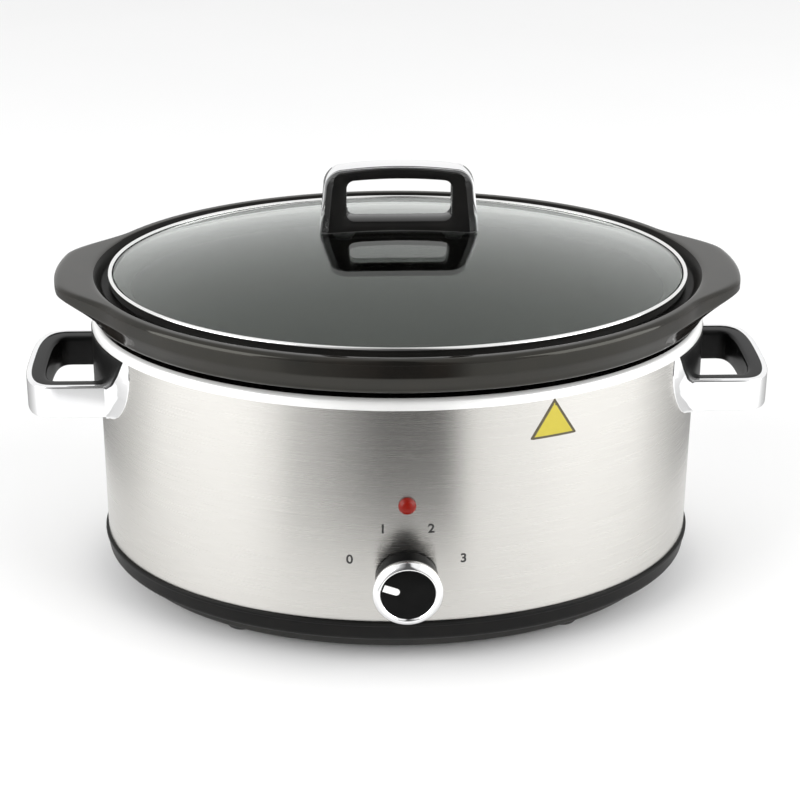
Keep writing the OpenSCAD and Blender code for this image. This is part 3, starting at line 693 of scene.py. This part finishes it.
def side_handle(side, mirror):
    """Bright cover with its flanges, and the black core with the pad that closes it against the casing."""
    low, high = HANDLE_LOW, HANDLE_TOP
    cover = bmesh.new()
    arm(cover, eased_loop([(0, low), (0, high), (COVER_T, high), (COVER_T, low)], [0.9, 1.2, 0.3, 0.3], 5),
        mirror)
    heights = [low + (high - low) * i / 20 for i in range(21)]
    heights += [high + (PAD_TOP - high) * i / 12 for i in range(1, 13)]
    for rear in (-1, 1):
        rows = []
        for z in heights:
            inner, outer = flange_edges(z)
            fold = 3.4 - 0.8 * min(max((z - high) / 4, 0), 1)
            crest = max(inner + 0.4, 41.8)
            section = [(inner, 0.05), (inner, fold - 0.3), (crest, fold), ((crest + outer) / 2, fold * 0.62),
                       (outer - 0.35, 0.75), (outer - 0.1, 0.5), (outer, 0.05)]
            row = [on_casing(rear * y, z, off) for y, off in section]
            rows.append([(mirror * p.x, p.y, p.z) for p in row])
        add_skin(cover, rows)
    cover_piece = finish_mesh("handle_trim_" + side, cover, sharp=28)
    done(cover_piece, "housing", ["handle_cover_" + side], [CHROME])

    core = bmesh.new()
    arm(core, eased_loop([(COVER_T, low + 0.4), (COVER_T, high - 0.5), (CORE_INSET, high - 0.5),
                          (CORE_INSET, low + 0.4)], [0.4, 0.4, 2.4, 1.5], 5), mirror)
    rows = []
    for z in [low + 0.3 + (PAD_TOP - low - 0.3) * i / 30 for i in range(31)]:
        inner = flange_edges(z)[0] - 0.05
        front = [(inner, 0.05), (inner, PAD_T - 0.5), (inner - 0.6, PAD_T)]
        middle = [((inner - 0.6) * (1 - k / 8), PAD_T) for k in range(1, 16)]
        back = [(-inner * (1 - k / 8), 0.05) for k in range(1, 16)]
        section = front + middle + [(-y, off) for y, off in front[::-1]] + back
        row = [on_casing(y, z, off) for y, off in section]
        rows.append([(mirror * p.x, p.y, p.z) for p in row])
    add_skin(core, rows)
    core_piece = finish_mesh("handle_grip_" + side, core, sharp=28)
    done(core_piece, "housing", ["handle_core_" + side], [HANDLE])


# ---- controls ----

def knob():
    """Knob: black skirt and face, a turned bright ring and the white pointer."""
    front = KNOB_FRONT - 0.7
    skirt = eased([(0.4, 14.5), (3.1, 14.5), (3.1, 3.5), (6, 3.5), (6, 11.5), (14.9, 11.5), (14.9, 1.2), (16.3, 1.2),
                   (16.7, 1.7), (16.7, 13.4), (14, 13.4), (14, front), (0.4, front)],
                  [0, 0.1, 0.1, 0.1, 0.3, 0.3, 0.2, 0.3, 0.3, 0.3, 0.1, 0.7, 0], 4)
    body = skin_piece("knob_skirt", lathe_rows(skirt), place=facing(-1, KNOB_Z))
    done(body, "knob", ["knob_body"], [KNOB])
    ring = eased_loop([(14.05, 13.45), (KNOB_R - 0.5, 13.45), (KNOB_R, 13.9), (KNOB_R, 16.2),
                       (KNOB_R - 1.9, KNOB_FRONT - 0.45), (KNOB_R - 2.8, KNOB_FRONT), (14.8, KNOB_FRONT),
                       (14.05, KNOB_FRONT - 0.8)],
                      [0.1, 0.3, 0.3, 0.5, 0.5, 0.2, 0.3, 0.1], 5)
    bezel = skin_piece("knob_bezel", lathe_rows(ring, 128), ring=True, place=facing(-1, KNOB_Z))
    done(bezel, "knob", ["knob_ring"], [CHROME])
    inner_end = [(1.9 * math.cos(a), 6.6 + 1.9 * math.sin(a)) for a in
                 [math.radians(180 + 15 * k) for k in range(13)]]
    outline = inner_end + [(1.9, 13.4), (-1.9, 13.4)]
    centre = Vector((0, 9.5))
    rows = []
    for shrink, height in ((0, front - 0.05), (0, front + 0.45), (0.12, front + 0.62), (0.3, front + 0.68)):
        scale = [Vector(p) - (Vector(p) - centre).normalized() * shrink for p in outline]
        rows.append([(p.x, p.y, height) for p in scale])
    pointer = skin_piece("knob_pointer_mark", rows, place=facing(-1, KNOB_Z, turn=-1.5 * DETENT))
    done(pointer, "knob", ["knob_pointer"], [WHITE_MARK])


def lamp():
    """Red lens: a flanged dome with a fine step round its foot."""
    dome = [(LENS_R * math.cos(a) * 0.93, 1.1 + 2.3 * math.sin(a)) for a in
            [math.radians(6 * k) for k in range(15)]]
    profile = [(3.8, -5.8), (3.8, 0.05), (LENS_R, 0.05), (LENS_R, 0.8), (LENS_R - 0.25, 1.05), *dome,
               (0.2, 3.4)]
    piece = skin_piece("lamp_dome", lathe_rows(profile, 72), sharp=50, place=facing(-1, LAMP_Z))
    done(piece, "housing", ["lamp_lens"], [RED_LENS])


def dial_figures():
    """Figures 0 to 3 printed round the knob, one at each switch position, bent on to the casing."""
    radius, height, film = 31.5, 7.2, 0.06
    for index in range(4):
        turn = math.radians((index - 1.5) * DETENT)
        curve = bpy.data.curves.new("figure", "FONT")
        curve.body = str(index)
        curve.size = height
        curve.align_x = "CENTER"
        curve.align_y = "CENTER"
        curve.extrude = film / 2
        curve.offset = 0.16
        curve.resolution_u = 8
        text = bpy.data.objects.new("figure", curve)
        graph = bpy.context.evaluated_depsgraph_get()
        data = bpy.data.meshes.new_from_object(text.evaluated_get(graph), depsgraph=graph)
        bpy.data.objects.remove(text)
        mesh = bmesh.new()
        mesh.from_mesh(data)
        bpy.data.meshes.remove(data)
        bmesh.ops.remove_doubles(mesh, verts=mesh.verts, dist=0.001)
        centre = Vector((radius * math.sin(turn), KNOB_Z + radius * math.cos(turn)))
        for vertex in mesh.verts:
            x, z = centre.x + vertex.co.x, centre.y + vertex.co.y
            vertex.co = on_front(x, z, vertex.co.z + film / 2 + 0.01)
        piece = finish_mesh(f"dial_figure_{index}", mesh, sharp=30)
        done(piece, "housing", [], [INK])


def sticker():
    """Blank three-cornered sticker with rounded corners and a dark printed edge, bent on to the casing."""
    low, high = box_mm("plain_sticker")
    middle, half, tall = (low.x + high.x) / 2, (high.x - low.x) / 2, high.z - low.z
    margin, film, corner = 1.3, 0.3, 0.9
    rows = []
    steps = [0, 0.25, 0.55, corner, margin, 3, 6, 9, 12, 15, 17.5, 19, 20, 20.6, 21, 21.3, tall]
    for rise in steps:
        width = half * (1 - rise / tall)
        if rise < corner:
            width -= corner * 1.6 * (1 - math.sqrt(1 - (1 - rise / corner) ** 2))
        width = max(width, 0.35)
        fold = min(margin * 1.15, width * 0.6)
        xs = [-width, -width + 0.04, -width + fold] + [
            (width - fold) * (k / 4 - 1) for k in range(1, 8)] + [width - fold, width - 0.04, width]
        line = []
        for back in (False, True):
            for x in (xs[::-1] if back else xs):
                edge = abs(abs(x) - width) < 0.02
                off = 0.02 if back else film * (0.6 if edge else 1)
                line.append(on_front(middle + x, low.z + rise, off))
        rows.append(line)
    piece = skin_piece("blank_sticker", rows, sharp=50)
    done(piece, "housing", ["plain_sticker"], [YELLOW, FILM_EDGE])
    for face in piece.data.polygons:
        x = face.center.x / MM - middle
        rise = face.center.z / MM - low.z
        slant = (half * (1 - rise / tall) - abs(x)) / math.hypot(1, half / tall)
        face.material_index = int(slant < margin or rise < margin)


def gland():
    """Ribbed rubber cord inlet at the rear."""
    profile = eased_loop([(3.6, -6), (6.4, -6), (7.2, -4.5), (7.2, -1.4), (5.9, -1.4), (5.9, 0.05), (8.2, 0.05),
                          (8.2, 2), (7, 3.4), (5.4, 4), (3.6, 4)],
                         [0.2, 0.3, 0.4, 0.2, 0.1, 0.1, 0.3, 0.6, 0.6, 0.5, 0.4], 4)
    piece = skin_piece("cord_inlet", lathe_rows(profile, 64), ring=True, place=facing(1, GLAND_Z))
    done(piece, "housing", ["cord_gland"], [GLAND])


casing_shell()
trim_ring()
base_moulding()
for node_name in ("foot_front_left", "foot_front_right", "foot_rear_left", "foot_rear_right"):
    foot(node_name)
well()
crock_pot()
glass_pane()
rim_band()
lid_handle_strap()
lid_handle_core()
side_handle("right", 1)
side_handle("left", -1)
knob()
lamp()
dial_figures()
sticker()
gland()

CARRIED = {
    "heating_band": MICA, "band_clamp": ZINC, "clamp_screw": ZINC, "liner_posts": ZINC, "base_screws": ZINC,
    "handle_screws": ZINC, "switch_body": SWITCH_PLASTIC, "switch_nut": BRASS, "switch_bracket": ZINC,
    "bracket_screws": ZINC, "lamp_holder": SWITCH_PLASTIC, "terminal_block": SWITCH_PLASTIC,
    "thermal_fuse": FUSE, "fuse_clip": ZINC, "internal_wires": SLEEVE, "lid_gasket": SEAL,
    "lid_screws": BLACKENED, "lid_washers": SEAL, "switch_shaft": BRASS,
}
for node_name, material in CARRIED.items():
    for material_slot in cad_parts[node_name].material_slots:
        material_slot.material = material


# ---- studio ----

def staged_square(name, reach, height, material):
    """Level square that belongs to the studio and not to the cooker."""
    data = bpy.data.meshes.new(name)
    data.from_pydata([(-reach, -reach, height), (reach, -reach, height), (reach, reach, height),
                      (-reach, reach, height)], [], [(0, 1, 2, 3)])
    data.materials.append(material)
    square = bpy.data.objects.new(name, data)
    bpy.context.scene.collection.objects.link(square)
    return square


def floor():
    pale = surface("pale_floor", [(0.90, 0.90, 0.90), (0.91, 0.91, 0.91)], (0.8, 0.9), grain=3)
    staged_square("floor", 9.0, 0, pale)


def compass(tree, where, stops):
    """Level that changes with the direction round the cooker, from pairs of a direction and a level.

    Directions are in degrees: 0 is in front of the cooker and they grow to the right."""
    nodes, links = tree.nodes, tree.links
    apart = nodes.new("ShaderNodeSeparateXYZ")
    links.new(where, apart.inputs["Vector"])
    front = nodes.new("ShaderNodeMath")
    front.operation = "MULTIPLY"
    front.inputs[1].default_value = -1
    links.new(apart.outputs["Y"], front.inputs[0])
    angle = nodes.new("ShaderNodeMath")
    angle.operation = "ARCTAN2"
    links.new(apart.outputs["X"], angle.inputs[0])
    links.new(front.outputs[0], angle.inputs[1])
    share = nodes.new("ShaderNodeMapRange")
    share.inputs["From Min"].default_value = -math.pi
    share.inputs["From Max"].default_value = math.pi
    links.new(angle.outputs[0], share.inputs["Value"])
    ramp = nodes.new("ShaderNodeValToRGB")
    elements = ramp.color_ramp.elements
    for index, (direction, level) in enumerate(stops):
        position = (direction + 180) / 360
        element = elements[index] if index < 2 else elements.new(position)
        element.position = position
        element.color = (level, level, level, 1)
    links.new(share.outputs["Result"], ramp.inputs["Fac"])
    return ramp.outputs["Color"]


def floor_card(near, stops):
    """Dark card on the floor round the cooker, which only reflections see, as a studio flag is used.

    It grows out of nothing between the two distances in near, and stops give its strength by direction."""
    cloth = surface("flag_cloth", [(0.02, 0.02, 0.02), (0.03, 0.03, 0.03)], (0.9, 1.0), grain=9)
    tree = cloth.node_tree
    where = tree.nodes.new("ShaderNodeTexCoord").outputs["Object"]
    distance = tree.nodes.new("ShaderNodeVectorMath")
    distance.operation = "LENGTH"
    tree.links.new(where, distance.inputs[0])
    grown = tree.nodes.new("ShaderNodeMapRange")
    grown.interpolation_type = "SMOOTHSTEP"
    grown.inputs["From Min"].default_value, grown.inputs["From Max"].default_value = near
    tree.links.new(distance.outputs["Value"], grown.inputs["Value"])
    strength = tree.nodes.new("ShaderNodeMath")
    strength.operation = "MULTIPLY"
    tree.links.new(grown.outputs["Result"], strength.inputs[0])
    tree.links.new(compass(tree, where, stops), strength.inputs[1])
    tree.links.new(strength.outputs[0], tree.nodes["Principled BSDF"].inputs["Alpha"])
    card = staged_square("floor_card", 2.6, 0.001, cloth)
    for ray in ("camera", "diffuse", "transmission", "volume_scatter", "shadow"):
        setattr(card, "visible_" + ray, False)


def heading(azimuth, elevation):
    """Direction away from the cooker; azimuth 0 is in front of it and grows to the right."""
    a, e = math.radians(azimuth), math.radians(elevation)
    return Vector((math.sin(a) * math.cos(e), -math.cos(a) * math.cos(e), math.sin(e)))


def softbox(name, azimuth, elevation, distance, size, power):
    """Area light that looks at the cooker from a heading."""
    aim = Vector((0, 0, 0.1))
    back = heading(azimuth, elevation)
    data = bpy.data.lights.new(name, "AREA")
    data.shape = "RECTANGLE"
    data.size, data.size_y = size
    data.energy = power
    lamp_object = bpy.data.objects.new(name, data)
    lamp_object.location = aim + back * distance
    lamp_object.rotation_euler = back.to_track_quat("Z", "Y").to_euler()
    bpy.context.scene.collection.objects.link(lamp_object)


def sky(stops):
    """Studio light from all round, whose strength depends on the direction."""
    world = bpy.data.worlds.new("studio")
    bpy.context.scene.world = world
    world.use_nodes = True
    tree = world.node_tree
    background = tree.nodes["Background"]
    background.inputs["Color"].default_value = (1, 1, 1, 1)
    where = tree.nodes.new("ShaderNodeTexCoord").outputs["Generated"]
    tree.links.new(compass(tree, where, stops), background.inputs["Strength"])


def camera():
    """Camera at the product view: low, from the front and a little to the left."""
    azimuth, elevation, roll, distance = -2.5, 23.9, 0.41, 1.143
    target = Vector((1.4, AXIS_Y, 97.6)) * MM
    back = heading(azimuth, elevation)
    data = bpy.data.cameras.new("product_camera")
    data.lens = 90.2
    data.sensor_width = 36
    view = bpy.data.objects.new("product_camera", data)
    turn = back.to_track_quat("Z", "Y").to_matrix().to_4x4() @ Matrix.Rotation(math.radians(roll), 4, "Z")
    view.matrix_world = Matrix.Translation(target + back * distance) @ turn
    bpy.context.scene.collection.objects.link(view)
    bpy.context.scene.camera = view


floor()
floor_card((0.24, 0.3), [
    (-180, 0.85), (-141, 0.8), (-113, 0.5), (-94, 0.3), (-80, 0.03), (-43, 0.01), (-35, 0.14), (-31, 0.4),
    (-26, 0.5), (-20, 0.62), (-12, 0.82), (-5, 0.96), (12, 0.96), (16, 0.6), (20, 0.1), (30, 0), (76, 0),
    (100, 0.4), (126, 0.6), (146, 0.65), (180, 0.85)])
sky([
    (-180, 1.0), (-60, 1.0), (-43, 0.99), (-35, 0.9), (-31, 0.6), (-26, 0.48), (-20, 0.36), (-12, 0.24), (-5, 0.1),
    (12, 0.1), (16, 0.32), (20, 0.8), (30, 1.0), (180, 1.0)])
softbox("left_softbox", -63, 22, 1.9, (1.5, 1.6), 24.5)
softbox("right_softbox", 66, 22, 1.9, (1.6, 1.6), 24.5)
camera()
bpy.context.scene.view_settings.view_transform = "Standard"
